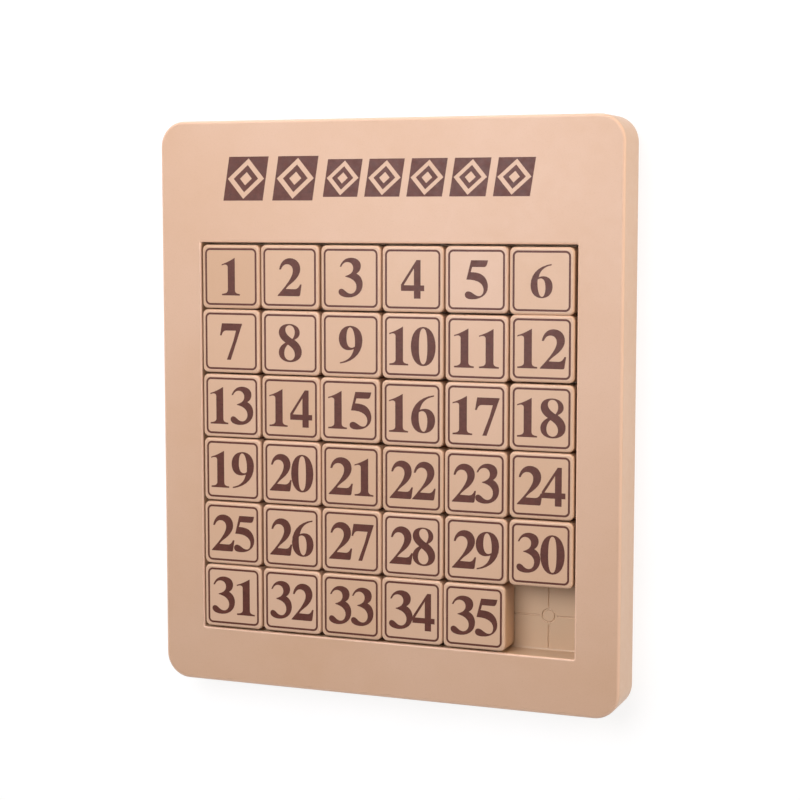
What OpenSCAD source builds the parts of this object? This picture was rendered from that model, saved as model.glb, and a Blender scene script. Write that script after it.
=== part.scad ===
// Magnetic sliding tile puzzle.
// A flat board has a square tray of six by six cells. Thirty-five loose tiles,
// numbered 1 to 35 from the top left, fill every cell but the last one.
// The board lies on its back: +Z points out of the tile faces, +X to the
// right and +Y towards the wide title band. The origin is the middle of the
// back face, where the board rests.

/* [Grid] */
// Number of cells along each side of the tray
grid_n = 6; // [6:1:6]
// Distance from one cell centre to the next
pitch = 18; // [17:0.1:20]
// Extra width of the tray beyond its cells
tray_play = 0.8; // [0.4:0.1:1.2]

/* [Board] */
// Width of the bezel at each side of the tray
side_margin = 12.3; // [11:0.1:16]
// Width of the bezel below the tray
bottom_margin = 15.4; // [12:0.1:20]
// Width of the bezel above the tray, which is the title band
top_margin = 33.4; // [24:0.1:45]
// Thickness from the back face to the bezel face
board_t = 13.8; // [13.4:0.1:16]
// Radius of the board's upright corners
board_corner_r = 7; // [4:0.5:10]
// Break on the front edge
front_break = 0.8; // [0.4:0.1:1.2]
// Thickness of the outer wall
wall_t = 2.2; // [1.6:0.1:3]
// Thickness of the bezel skin
bezel_t = 2; // [1.5:0.1:2.5]
// Thickness of the stiffening ribs behind the bezel
rib_t = 1.4; // [1:0.1:2]

/* [Tray] */
// Thickness of the tray's floor
floor_t = 2.4; // [2:0.1:3]
// Thickness of the tray's side walls
tray_wall_t = 2; // [1.5:0.1:2.5]
// Width of the fine guide grooves in the floor
groove_w = 0.5; // [0.4:0.05:0.8]
// Depth of the guide grooves
groove_depth = 0.3; // [0.2:0.05:0.4]
// Outer diameter of the ring groove at each cell's centre
ring_d = 4.0; // [3:0.1:5]
// Flat land between the ring groove and the straight grooves
ring_land = 0.4; // [0.4:0.1:1]

/* [Tiles] */
// Gap between neighbouring tiles
tile_gap = 0.4; // [0.3:0.05:0.6]
// Height of a tile
tile_h = 8.3; // [8:0.1:8.6]
// How far the tiles stand above the bezel
tile_proud = 0.5; // [0:0.1:0.8]
// Radius of a tile's upright corners
tile_corner_r = 1.5; // [1:0.1:2]
// Break around a tile's top face
tile_break = 0.6; // [0.3:0.1:0.9]
// Height of the shadow gap under a tile's cap
tile_foot = 0.3; // [0.2:0.05:0.5]
// Thickness of a cap's top
cap_top_t = 1.8; // [1.2:0.1:2.2]
// Thickness of a cap's side walls above the base plate
cap_wall_t = 2.3; // [2:0.1:2.8]
// Thickness of a tile's base plate
base_t = 1.6; // [1.4:0.1:1.8]

/* [Magnets] */
// Diameter of the magnet in each tile
magnet_d = 6; // [5:0.5:8]
// Thickness of the magnet
magnet_t = 2; // [1.5:0.5:2]
// Diameter of the steel disc under each cell
disc_d = 5; // [4:0.5:6]
// Thickness of the steel disc
disc_t = 1.2; // [1:0.1:1.2]

/* [Back] */
// Thickness of the back cover
cover_t = 1.8; // [1.6:0.1:2]
// Shank diameter of the cover screws
screw_d = 2.3; // [2:0.1:2.6]
// Head diameter of the cover screws
screw_head_d = 4.4; // [4:0.1:4.6]
// Length of a screw's shank
screw_len = 7; // [6:0.5:8]

/* [Hidden] */
SMOOTH = 48;
// Play left between parts that are glued or seated together
fit_gap = 0.05;
// Play around the back cover and around each base plate
edge_gap = 0.2;
// Overlap that joins two solids, and overshoot of a cutter past a face
eps = 0.02;

// Tray and tiles
tray_w = grid_n * pitch + tray_play;
tray_y = (bottom_margin - top_margin) / 2;
cell_first = -(grid_n - 1) / 2 * pitch;
tile_w = pitch - tile_gap;
tile_count = grid_n * grid_n - 1;
LAST_TILE = tile_count;
UPPER_TILE = tile_count + 1 - grid_n;
tile_inner_w = tile_w - 2 * cap_wall_t;
seat_w = tile_inner_w + 1.6;
seat_z = base_t + edge_gap;
magnet_z = 0.6;
magnet_cup_wall = 1;

// Board
board_w = tray_w + 2 * side_margin;
board_h = bottom_margin + tray_w + top_margin;
floor_z = board_t + tile_proud - tile_h;
cover_gap = wall_t + edge_gap;
floor_under_z = floor_z - floor_t;
bezel_under_z = board_t - bezel_t;
boss_d = 6.4;
boss_z = 3;
screw_head_t = 1.5;
screw_head_z = 0.35;
screw_seat_z = screw_head_z + screw_head_t + fit_gap;
side_x = (tray_w / 2 + tray_wall_t + board_w / 2 - wall_t) / 2;
corner_inset = 7.2;
corner_x = board_w / 2 - corner_inset;
corner_y = board_h / 2 - corner_inset;
SCREW_SPOTS = [
    [-corner_x, -corner_y],
    [corner_x, -corner_y],
    [-side_x, tray_y],
    [side_x, tray_y],
    [-corner_x, corner_y],
    [corner_x, corner_y]
];
RIB_X = [for (i = [-2:2]) i * 22];
SIDE_RIB_Y = [for (i = [-2, -1, 1, 2]) i * 19];

FIRST_NODES = ["front_shell", "locating_discs", "back_cover", "cover_screws"];
PLAIN_TILES = [for (n = [1:tile_count]) if (n != LAST_TILE && n != UPPER_TILE) n];
PARTED_TILES = [UPPER_TILE, LAST_TILE];
TILE_PIECES = ["cap", "base", "magnet"];

// A tile's name has two digits, so that the names sort in order.
function tile_name(n) = str("tile_", n < 10 ? "0" : "", n);

// Centre of a cell. Column 0 is at the left and row 0 is at the top.
function cell_x(column) = cell_first + column * pitch;
function cell_y(row) = tray_y - cell_first - row * pitch;

// Rounded rectangle about the origin, with true arcs at its corners.
module rounded_outline(w, h, r) {
    union() {
        square([w - 2 * r, h], center = true);
        square([w, h - 2 * r], center = true);
        for (x = [-1, 1]) {
            for (y = [-1, 1]) {
                translate([x * (w / 2 - r), y * (h / 2 - r)])
                    circle(r = r, $fn = SMOOTH);
            }
        }
    }
}

// Upright block with rounded corners, from z = 0 to z = h.
module rounded_block(w, l, h, r) {
    linear_extrude(height = h) rounded_outline(w, l, r);
}

// Half of a block's section, with its top edge broken by c.
module broken_half_section(half, h, c) {
    polygon([[0, 0], [half, 0], [half, h - c], [half - c, h], [0, h]]);
}

// Block with rounded corners and a broken top edge.
module broken_block(w, l, h, r, c) {
    union() {
        for (x = [-1, 1]) {
            for (y = [-1, 1]) {
                translate([x * (w / 2 - r), y * (l / 2 - r), 0])
                    rotate_extrude($fn = SMOOTH) broken_half_section(r, h, c);
            }
        }
        broken_bar(w, l - 2 * r, h, c);
        rotate([0, 0, 90]) broken_bar(l, w - 2 * r, h, c);
    }
}

// Bar of length l along Y, with both long top edges broken.
module broken_bar(w, l, h, c) {
    translate([0, l / 2, 0])
        rotate([90, 0, 0])
            linear_extrude(height = l)
                union() {
                    broken_half_section(w / 2, h, c);
                    mirror([1, 0]) broken_half_section(w / 2, h, c);
                }
}

// Repeats its children at the centre of every cell of the tray.
module at_each_cell() {
    for (row = [0:grid_n - 1]) {
        for (column = [0:grid_n - 1]) {
            translate([cell_x(column), cell_y(row), 0]) children();
        }
    }
}

// Repeats its children at every cover screw.
module at_each_screw() {
    for (spot = SCREW_SPOTS) {
        translate([spot[0], spot[1], 0]) children();
    }
}

// Places its children in tile n's home cell, standing on the tray's floor.
module at_tile_home(n) {
    column = (n - 1) % grid_n;
    row = floor((n - 1) / grid_n);
    translate([cell_x(column), cell_y(row), floor_z]) children();
}

// Front shell: bezel, outer wall, tray with its floor, ribs and screw bosses.
module front_shell() {
    color([0.85, 0.7, 0.58])
        difference() {
            union() {
                shell_casing();
                tray_body();
                shell_ribs();
                shell_bosses();
            }
            translate([0, tray_y, floor_z + board_t / 2])
                cube([tray_w, tray_w, board_t], center = true);
            floor_grooves();
            disc_pockets();
            at_each_screw()
                translate([0, 0, boss_z - eps])
                    cylinder(d = screw_d + 2 * fit_gap, h = screw_len, $fn = SMOOTH);
        }
}

// Outer wall and bezel skin, open at the back.
module shell_casing() {
    difference() {
        broken_block(board_w, board_h, board_t, board_corner_r, front_break);
        translate([0, 0, -eps])
            rounded_block(
                board_w - 2 * wall_t,
                board_h - 2 * wall_t,
                bezel_under_z + eps,
                board_corner_r - wall_t
            );
    }
}

// Block that becomes the tray's walls and floor once the tray is cut out.
module tray_body() {
    body_w = tray_w + 2 * tray_wall_t;
    translate([0, tray_y, (floor_under_z + bezel_under_z + eps) / 2])
        cube([body_w, body_w, bezel_under_z + eps - floor_under_z], center = true);
}

// Ribs that tie the bezel to the outer wall and the tray, seated on the cover.
module shell_ribs() {
    rib_h = bezel_under_z + eps - cover_t - fit_gap;
    rib_z = cover_t + fit_gap + rib_h / 2;
    tray_top = tray_y + tray_w / 2 + tray_wall_t;
    tray_bottom = tray_y - tray_w / 2 - tray_wall_t;
    inner_top = board_h / 2 - wall_t;
    for (x = RIB_X) {
        translate([x, (tray_top + inner_top) / 2, rib_z])
            cube([rib_t, inner_top - tray_top + 2 * eps, rib_h], center = true);
        translate([x, (tray_bottom - inner_top) / 2, rib_z])
            cube([rib_t, inner_top + tray_bottom + 2 * eps, rib_h], center = true);
    }
    side_len = board_w / 2 - wall_t - tray_w / 2 - tray_wall_t + 2 * eps;
    for (side = [-1, 1]) {
        for (y = SIDE_RIB_Y) {
            translate([side * side_x, tray_y + y, rib_z])
                cube([side_len, rib_t, rib_h], center = true);
        }
    }
}

// Bosses under the bezel that take the cover screws.
module shell_bosses() {
    at_each_screw()
        translate([0, 0, boss_z])
            cylinder(d = boss_d, h = bezel_under_z + eps - boss_z, $fn = SMOOTH);
}

// Fine cross groove and ring groove in every cell of the tray's floor.
module floor_grooves() {
    ring_in_d = ring_d - 2 * groove_w;
    arm_start = ring_d / 2 + ring_land;
    arm_end = pitch / 2;
    edge_stop = 0.4;
    for (row = [0:grid_n - 1]) {
        for (column = [0:grid_n - 1]) {
            translate([cell_x(column), cell_y(row), floor_z - groove_depth]) {
                difference() {
                    cylinder(d = ring_d, h = groove_depth + eps, $fn = SMOOTH);
                    translate([0, 0, -eps])
                        cylinder(d = ring_in_d, h = groove_depth + 3 * eps, $fn = SMOOTH);
                }
                groove_arm(0, arm_start, arm_end - (column == grid_n - 1 ? 0 : -eps));
                groove_arm(180, arm_start, arm_end - (column == 0 ? 0 : -eps));
                groove_arm(90, arm_start, arm_end - (row == 0 ? edge_stop : -eps));
                groove_arm(270, arm_start, arm_end - (row == grid_n - 1 ? edge_stop : -eps));
            }
        }
    }
}

// One straight groove, from one radius to another at an angle about Z.
module groove_arm(angle, from, to) {
    rotate([0, 0, angle])
        translate([from, -groove_w / 2, 0])
            cube([to - from, groove_w, groove_depth + eps]);
}

// Blind pockets under the tray's floor that hold the steel discs.
module disc_pockets() {
    at_each_cell()
        translate([0, 0, floor_under_z - eps])
            cylinder(d = disc_d + 2 * fit_gap, h = disc_t + fit_gap + eps, $fn = SMOOTH);
}

// Steel discs, one under each cell, that draw the tiles' magnets to centre.
module locating_discs() {
    color([0.72, 0.73, 0.75])
        at_each_cell()
            translate([0, 0, floor_under_z])
                cylinder(d = disc_d, h = disc_t, $fn = SMOOTH);
}

// Back cover: a plate that drops into the shell, with posts under the discs.
module back_cover() {
    post_d = disc_d - 1;
    cup_d = screw_head_d + 3;
    color([0.83, 0.68, 0.56])
        difference() {
            union() {
                rounded_block(
                    board_w - 2 * cover_gap,
                    board_h - 2 * cover_gap,
                    cover_t,
                    board_corner_r - cover_gap
                );
                at_each_cell()
                    translate([0, 0, cover_t - eps])
                        cylinder(d = post_d, h = floor_under_z - cover_t + eps - fit_gap, $fn = SMOOTH);
                at_each_screw()
                    translate([0, 0, cover_t - eps])
                        cylinder(d = cup_d, h = boss_z - fit_gap - cover_t + eps, $fn = SMOOTH);
            }
            at_each_screw() {
                translate([0, 0, -eps])
                    cylinder(d = screw_head_d + 4 * fit_gap, h = screw_seat_z + eps, $fn = SMOOTH);
                translate([0, 0, -eps])
                    cylinder(d = screw_d + 6 * fit_gap, h = boss_z + 2 * eps, $fn = SMOOTH);
            }
        }
}

// Pan-head screws that hold the back cover on.
module cover_screws() {
    color([0.6, 0.61, 0.63])
        at_each_screw()
            translate([0, 0, screw_head_z])
                cover_screw();
}

// One screw, head down, with a cross recess in its head.
module cover_screw() {
    recess_w = 0.7;
    recess_len = 2.6;
    recess_depth = 0.8;
    tip_len = 1;
    difference() {
        rotate_extrude($fn = SMOOTH)
            polygon([
                [0, 0],
                [screw_head_d / 2 - 0.4, 0],
                [screw_head_d / 2, 0.5],
                [screw_head_d / 2, screw_head_t],
                [screw_d / 2, screw_head_t],
                [screw_d / 2, screw_head_t + screw_len - tip_len],
                [0.3, screw_head_t + screw_len],
                [0, screw_head_t + screw_len]
            ]);
        for (angle = [0, 90]) {
            rotate([0, 0, angle])
                translate([-recess_len / 2, -recess_w / 2, -eps])
                    cube([recess_len, recess_w, recess_depth + eps]);
        }
    }
}

// Tile cap: the tile's top and sides, hollow, with a seat for the base plate.
module tile_cap() {
    color([0.84, 0.68, 0.56])
        difference() {
            translate([0, 0, tile_foot])
                broken_block(tile_w, tile_w, tile_h - tile_foot, tile_corner_r, tile_break);
            translate([-tile_inner_w / 2, -tile_inner_w / 2, 0])
                cube([tile_inner_w, tile_inner_w, tile_h - cap_top_t]);
            translate([-seat_w / 2, -seat_w / 2, 0])
                cube([seat_w, seat_w, seat_z + fit_gap]);
        }
}

// Tile base plate: closes the cap and carries the magnet in a cup.
module tile_base() {
    plate_w = seat_w - 2 * fit_gap;
    cup_d = magnet_d + 2 * magnet_cup_wall;
    color([0.8, 0.64, 0.52])
        difference() {
            union() {
                translate([-plate_w / 2, -plate_w / 2, 0])
                    cube([plate_w, plate_w, seat_z]);
                cylinder(d = cup_d, h = magnet_z + magnet_t + edge_gap, $fn = SMOOTH);
            }
            translate([0, 0, magnet_z])
                cylinder(d = magnet_d + 2 * fit_gap, h = magnet_t + 1, $fn = SMOOTH);
        }
}

// Disc magnet in the base plate's cup.
module tile_magnet() {
    color([0.75, 0.76, 0.78])
        translate([0, 0, magnet_z + fit_gap])
            cylinder(d = magnet_d, h = magnet_t, $fn = SMOOTH);
}

// One whole tile: cap, base plate and magnet, which don't touch one another.
module tile() {
    tile_cap();
    tile_base();
    tile_magnet();
}

front_shell();
locating_discs();
back_cover();
cover_screws();
for (n = PLAIN_TILES) {
    at_tile_home(n) tile();
}
for (n = PARTED_TILES) {
    at_tile_home(n) tile_cap();
    at_tile_home(n) tile_base();
    at_tile_home(n) tile_magnet();
}
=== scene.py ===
import math

import bmesh
import bpy
from mathutils import Matrix, Vector


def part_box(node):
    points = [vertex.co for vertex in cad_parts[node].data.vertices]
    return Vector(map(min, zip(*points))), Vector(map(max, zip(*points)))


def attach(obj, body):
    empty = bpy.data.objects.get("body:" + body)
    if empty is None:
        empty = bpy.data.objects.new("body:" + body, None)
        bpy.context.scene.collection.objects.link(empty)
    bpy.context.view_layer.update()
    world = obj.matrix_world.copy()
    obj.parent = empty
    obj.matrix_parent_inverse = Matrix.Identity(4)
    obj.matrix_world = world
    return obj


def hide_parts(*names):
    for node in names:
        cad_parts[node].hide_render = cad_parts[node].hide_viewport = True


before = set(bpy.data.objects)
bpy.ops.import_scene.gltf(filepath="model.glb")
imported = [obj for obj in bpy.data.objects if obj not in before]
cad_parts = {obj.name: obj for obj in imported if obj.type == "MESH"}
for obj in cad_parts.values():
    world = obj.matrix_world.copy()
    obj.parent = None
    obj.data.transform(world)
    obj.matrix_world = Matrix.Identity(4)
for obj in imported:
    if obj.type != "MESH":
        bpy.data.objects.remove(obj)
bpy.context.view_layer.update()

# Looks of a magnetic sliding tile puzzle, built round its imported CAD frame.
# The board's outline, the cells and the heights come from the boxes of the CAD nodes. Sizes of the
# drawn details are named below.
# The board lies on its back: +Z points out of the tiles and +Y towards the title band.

MM = 0.001

# ---------------------------------------------------------------- layout, from the frame

GRID = 6
TILE_COUNT = GRID * GRID - 1


def tile_body(number):
    """Name of the body that carries a tile."""
    return f"tile_{number:02d}"


def tile_nodes(number):
    """CAD nodes of a tile: one for most tiles, and one per piece for those beside the gap."""
    name = tile_body(number)
    return [node for node in sorted(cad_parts) if node.split("_")[:2] == name.split("_")]


def tile_box(number):
    """Lowest and highest corner of a whole tile."""
    boxes = [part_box(node) for node in tile_nodes(number)]
    low = Vector([min(box[0][axis] for box in boxes) for axis in range(3)])
    high = Vector([max(box[1][axis] for box in boxes) for axis in range(3)])
    return low, high


_, board_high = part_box("front_shell")
BOARD_HALF_X = board_high.x
BOARD_HALF_Y = board_high.y
BEZEL_Z = board_high.z

first_low, first_high = tile_box(1)
last_of_row_low, _ = tile_box(GRID)
first_of_last_row_low, _ = tile_box(TILE_COUNT + 2 - GRID)
PITCH = (last_of_row_low.x - first_low.x) / (GRID - 1)
TRAY_Y = (first_high.y + first_of_last_row_low.y) / 2
TILE_W = first_high.x - first_low.x
FLOOR_Z = first_low.z
TILE_TOP_Z = first_high.z

# ---------------------------------------------------------------- sizes of the shapes

CORNER_STEPS = 12
DISC_STEPS = 40
WELL_STEPS = 48
TRAY_PLAY = 0.8 * MM
TRAY_HALF = (GRID * PITCH + TRAY_PLAY) / 2

BOARD_CORNER_R = 7.0 * MM
FRONT_ROUND = 0.85 * MM
BACK_ROUND = 0.5 * MM
WALL_T = 2.2 * MM
BEZEL_T = 2.0 * MM
TRAY_WALL_T = 2.0 * MM
FLOOR_T = 2.4 * MM
WINDOW_ROUND = 0.5 * MM
WINDOW_CORNER_R = 0.3 * MM
FLOOR_ROUND = 0.45 * MM
PLANE_SUPPORT = 0.12 * MM
OVERLAP = 0.02 * MM

GROOVE_W = 0.5 * MM
GROOVE_DEPTH = 0.3 * MM
GROOVE_LIP = 0.06 * MM
GROOVE_STEPS = 6
RING_MID_R = 1.75 * MM
ARM_START_R = 2.4 * MM
ARM_EDGE_STOP = 0.4 * MM

TILE_CORNER_R = 1.5 * MM
TILE_TOP_ROUND = 0.65 * MM
TILE_FOOT_ROUND = 0.2 * MM
TILE_FOOT_GAP = 0.3 * MM
TILE_SEAT_W = 14.6 * MM
TILE_SEAT_DEPTH = 1.55 * MM
TILE_HOLLOW_W = 13.0 * MM
TILE_HOLLOW_CORNER_R = 0.4 * MM
TILE_TOP_T = 1.8 * MM
BASE_W = 14.5 * MM
BASE_T = 1.8 * MM
BASE_CORNER_R = 0.6 * MM
BASE_ROUND = 0.2 * MM
MAGNET_R = 3.0 * MM
MAGNET_T = 2.0 * MM
MAGNET_Z = 0.65 * MM
MAGNET_RIM = 0.2 * MM
CUP_WALL = 1.0 * MM
CUP_TOP_Z = 2.8 * MM
CUP_PLAY = 0.05 * MM

INK_T = 0.02 * MM
CAP_TOP_Z = TILE_TOP_Z - FLOOR_Z - INK_T

WHITE = (1.0, 1.0, 1.0, 1.0)


# ---------------------------------------------------------------- mesh helpers

def new_piece(name, mesh, body, slot_name, material, *replaced):
    """Adds a mesh to the scene as a piece, and gives it back with the body that it is to ride on."""
    piece = bpy.data.objects.new(name, mesh)
    bpy.context.scene.collection.objects.link(piece)
    if not mesh.materials:
        mesh.materials.append(material)
    if replaced:
        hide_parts(*replaced)
    return piece, body


def place(piece_and_body, location=(0, 0, 0)):
    """Puts a piece in its place and lets it ride."""
    piece, body = piece_and_body
    piece.location = location
    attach(piece, body)
    return piece


def smooth(mesh, angle=35):
    """Smooth shading that keeps edges sharper than the angle, in degrees."""
    mesh.polygons.foreach_set("use_smooth", [True] * len(mesh.polygons))
    mesh.set_sharp_from_angle(angle=math.radians(angle))
    return mesh


def to_mesh(bm, name, angle=35):
    """Turns a bmesh into a finished mesh, with its faces pointing outward."""
    bmesh.ops.recalc_face_normals(bm, faces=bm.faces)
    mesh = bpy.data.meshes.new(name)
    bm.to_mesh(mesh)
    bm.free()
    return smooth(mesh, angle)


def rounded_ring(half_x, half_y, radius, z, centre_y=0.0):
    """Points round a rounded rectangle at one height, as many for every ring."""
    points = []
    for quarter, (side_x, side_y) in enumerate([(1, 1), (-1, 1), (-1, -1), (1, -1)]):
        for step in range(CORNER_STEPS + 1):
            angle = (quarter + step / CORNER_STEPS) * math.pi / 2
            x = side_x * (half_x - radius) + radius * math.cos(angle)
            y = side_y * (half_y - radius) + radius * math.sin(angle)
            points.append(Vector((x, centre_y + y, z)))
    return points


def loft(rings):
    """Closed bmesh through rings with equal numbers of points, capped at both ends."""
    bm = bmesh.new()
    rows = [[bm.verts.new(point) for point in ring] for ring in rings]
    count = len(rows[0])
    for row, following in zip(rows, rows[1:]):
        for i in range(count):
            j = (i + 1) % count
            bm.faces.new((row[i], row[j], following[j], following[i]))
    bm.faces.new(list(reversed(rows[0])))
    bm.faces.new(rows[-1])
    return bm


def quarter_round(radius, steps):
    """(inset, drop) pairs of a quarter round, from the flat top to the upright side."""
    pairs = []
    for step in range(steps + 1):
        angle = step / steps * math.pi / 2
        pairs.append((radius * (1 - math.sin(angle)), radius * (1 - math.cos(angle))))
    return pairs


def mark_wear(mesh, rounds_above, tray_half=0.0):
    """Marks where light is painted: the rounds above a height for a painted highlight, up to 1 where they
    lean by 45 degrees, and the tray with -1 for painted shade.
    """
    marks = mesh.attributes.new("wear", "FLOAT", "FACE")
    for face in mesh.polygons:
        x, y, z = face.center
        if z > rounds_above:
            lean = face.normal.z
            marks.data[face.index].value = 2 * abs(lean) * math.sqrt(max(0.0, 1 - lean * lean))
        elif z > FLOOR_Z - FLOOR_T / 2 and max(abs(x), abs(y - TRAY_Y)) < tray_half:
            marks.data[face.index].value = -1.0


def cut(mesh, cutter_bm):
    """Cuts the closed shapes of a bmesh out of a mesh."""
    cutter_mesh = bpy.data.meshes.new("cutter")
    cutter_bm.to_mesh(cutter_mesh)
    cutter_bm.free()
    body = bpy.data.objects.new("cut_body", mesh)
    cutter = bpy.data.objects.new("cutter", cutter_mesh)
    for thing in (body, cutter):
        bpy.context.scene.collection.objects.link(thing)
    modifier = body.modifiers.new("cut", "BOOLEAN")
    modifier.operation = "DIFFERENCE"
    modifier.solver = "EXACT"
    modifier.object = cutter
    graph = bpy.context.evaluated_depsgraph_get()
    result = bpy.data.meshes.new_from_object(body.evaluated_get(graph))
    result.name = mesh.name
    for thing in (body, cutter):
        bpy.data.objects.remove(thing)
    bpy.data.meshes.remove(cutter_mesh)
    bpy.data.meshes.remove(mesh)
    return smooth(result)


def add_prism(bm, section, start, end):
    """Closed bar whose section is a list of (across, up) pairs, from one point to another."""
    along = (end - start).normalized()
    across = Vector((-along.y, along.x, 0))
    rows = []
    for point in (start, end):
        rows.append([bm.verts.new(point + across * a + Vector((0, 0, up))) for a, up in section])
    count = len(section)
    for i in range(count):
        j = (i + 1) % count
        bm.faces.new((rows[0][i], rows[0][j], rows[1][j], rows[1][i]))
    bm.faces.new(list(reversed(rows[0])))
    bm.faces.new(rows[1])


def add_revolved(bm, profile, centre, segments, closed_loop=False):
    """Solid of revolution about Z. The profile is (radius, z) pairs, open at the axis or a closed loop."""
    rows = []
    for radius, z in profile:
        if radius == 0:
            rows.append([bm.verts.new(centre + Vector((0, 0, z)))])
            continue
        row = []
        for i in range(segments):
            angle = 2 * math.pi * i / segments
            offset = Vector((radius * math.cos(angle), radius * math.sin(angle), z))
            row.append(bm.verts.new(centre + offset))
        rows.append(row)
    pairs = list(zip(rows, rows[1:]))
    if closed_loop:
        pairs.append((rows[-1], rows[0]))
    for row, following in pairs:
        for i in range(segments):
            j = (i + 1) % segments
            if len(row) == 1:
                bm.faces.new((row[0], following[j], following[i]))
            elif len(following) == 1:
                bm.faces.new((row[i], row[j], following[0]))
            else:
                bm.faces.new((row[i], row[j], following[j], following[i]))


# ---------------------------------------------------------------- materials

def linear(red, green, blue):
    """Linear colour from 8-bit display values."""
    def channel(value):
        value = value / 255
        return value / 12.92 if value <= 0.04045 else ((value + 0.055) / 1.055) ** 2.4
    return (channel(red), channel(green), channel(blue), 1.0)


def scaled(colour, factor):
    """A colour made lighter or darker."""
    return tuple(min(1.0, channel * factor) for channel in colour[:3]) + (1.0,)


MAP_SOCKETS = ("From Min", "From Max", "To Min", "To Max")


class Surface:
    """A material under construction, with short calls for the nodes that it uses."""

    def __init__(self, name):
        self.material = bpy.data.materials.new(name)
        self.material.use_nodes = True
        self.tree = self.material.node_tree
        self.shader = self.tree.nodes["Principled BSDF"]
        self.place = self.tree.nodes.new("ShaderNodeTexCoord").outputs["Object"]

    def link(self, source, target):
        """Links an output to an input."""
        self.tree.links.new(source, target)

    def noise(self, scale, detail=3.0, roughness=0.5, vary=None):
        """Noise in object space; vary is a value that makes each object's pattern its own."""
        node = self.tree.nodes.new("ShaderNodeTexNoise")
        node.noise_dimensions = "4D" if vary else "3D"
        node.inputs["Scale"].default_value = scale
        node.inputs["Detail"].default_value = detail
        node.inputs["Roughness"].default_value = roughness
        self.link(self.place, node.inputs["Vector"])
        if vary:
            self.link(vary, node.inputs["W"])
        return node.outputs["Fac"]

    def wear(self, full, amount):
        """From 0 on unmarked faces to the amount on those marked with the full value where light is
        painted: a painted highlight or painted shade.
        """
        marks = self.tree.nodes.new("ShaderNodeAttribute")
        marks.attribute_name = "wear"
        return self.spread(marks.outputs["Fac"], 0.0, full, 0.0, amount)

    def own_tint(self, colour):
        """The colour output, multiplied by the object's own colour, which is white unless it is set."""
        info = self.tree.nodes.new("ShaderNodeObjectInfo")
        node = self.tree.nodes.new("ShaderNodeMix")
        node.data_type = "RGBA"
        node.blend_type = "MULTIPLY"
        node.inputs["Factor"].default_value = 1.0
        self.link(colour, node.inputs[6])
        self.link(info.outputs["Color"], node.inputs[7])
        return node.outputs[2]

    def random(self, factor):
        """A value of the object's own, from 0 to the factor."""
        info = self.tree.nodes.new("ShaderNodeObjectInfo")
        node = self.tree.nodes.new("ShaderNodeMath")
        node.operation = "MULTIPLY"
        node.inputs[1].default_value = factor
        self.link(info.outputs["Random"], node.inputs[0])
        return node.outputs[0]

    def spread(self, value, low, high, to_low=0.0, to_high=1.0):
        """A value stretched from one range to another, and held within it."""
        node = self.tree.nodes.new("ShaderNodeMapRange")
        for socket, number in zip(MAP_SOCKETS, (low, high, to_low, to_high)):
            node.inputs[socket].default_value = number
        self.link(value, node.inputs["Value"])
        return node.outputs["Result"]

    def mix(self, factor, first, second):
        """Colour between two colours or colour outputs."""
        node = self.tree.nodes.new("ShaderNodeMix")
        node.data_type = "RGBA"
        self.link(factor, node.inputs["Factor"])
        for socket, colour in ((node.inputs[6], first), (node.inputs[7], second)):
            if isinstance(colour, tuple):
                socket.default_value = colour
            else:
                self.link(colour, socket)
        return node.outputs[2]

    def bump(self, height, distance, below=None):
        """Normals of a relief as high as the distance, on top of the normals below it."""
        node = self.tree.nodes.new("ShaderNodeBump")
        node.inputs["Strength"].default_value = 1.0
        node.inputs["Distance"].default_value = distance
        self.link(height, node.inputs["Height"])
        if below:
            self.link(below, node.inputs["Normal"])
        return node.outputs["Normal"]


# Painted shade inside the tray: a darker, duller tan, and how much of it shows there.
TRAY_SHADE_TAN = linear(198, 170, 138)
TRAY_SHADE = 0.8


def moulded_plastic(name, colour, warm, pale, roughness, grain, vary=0.0, rim_highlight=0.0):
    """Satin ABS with drifting hue, faint mottling and fine grain, with a painted highlight on the rounded
    rims and painted shade in the tray.
    """
    s = Surface(name)
    seed = s.random(vary) if vary else None
    drift = s.spread(s.noise(28.0, 2.0, vary=seed), 0.35, 0.65)
    base = s.mix(drift, warm, colour)
    cloud = s.spread(s.noise(240.0, 4.0, 0.6, vary=seed), 0.3, 0.8, 0.0, 0.2)
    base = s.mix(cloud, base, pale)
    speckle = s.spread(s.noise(2600.0, 2.0, 0.7), 0.56, 0.78, 0.0, 0.35)
    base = s.mix(speckle, base, scaled(warm, 0.80))
    if vary:
        own = s.spread(s.random(1.0), 0.0, 1.0, 0.0, 0.5)
        # Random tone of each object, and the object's own colour, which carries the painted sheen of a few
        # tiles.
        base = s.own_tint(s.mix(own, base, pale))
    if rim_highlight:
        # Painted shade in the tray.
        base = s.mix(s.wear(-1.0, TRAY_SHADE), base, TRAY_SHADE_TAN)
        # Painted highlight: the rounded rims made paler.
        base = s.mix(s.wear(1.0, rim_highlight), base, scaled(pale, 1.3))
    s.link(base, s.shader.inputs["Base Color"])
    polish = s.spread(s.noise(420.0, 3.0), 0.3, 0.7, roughness - 0.03, roughness + 0.05)
    s.link(polish, s.shader.inputs["Roughness"])
    s.shader.inputs["IOR"].default_value = 1.53
    waves = s.bump(s.noise(90.0, 2.0), 12e-6)
    s.link(s.bump(s.noise(4200.0, 3.0, 0.6), grain, below=waves), s.shader.inputs["Normal"])
    return s.material


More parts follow.
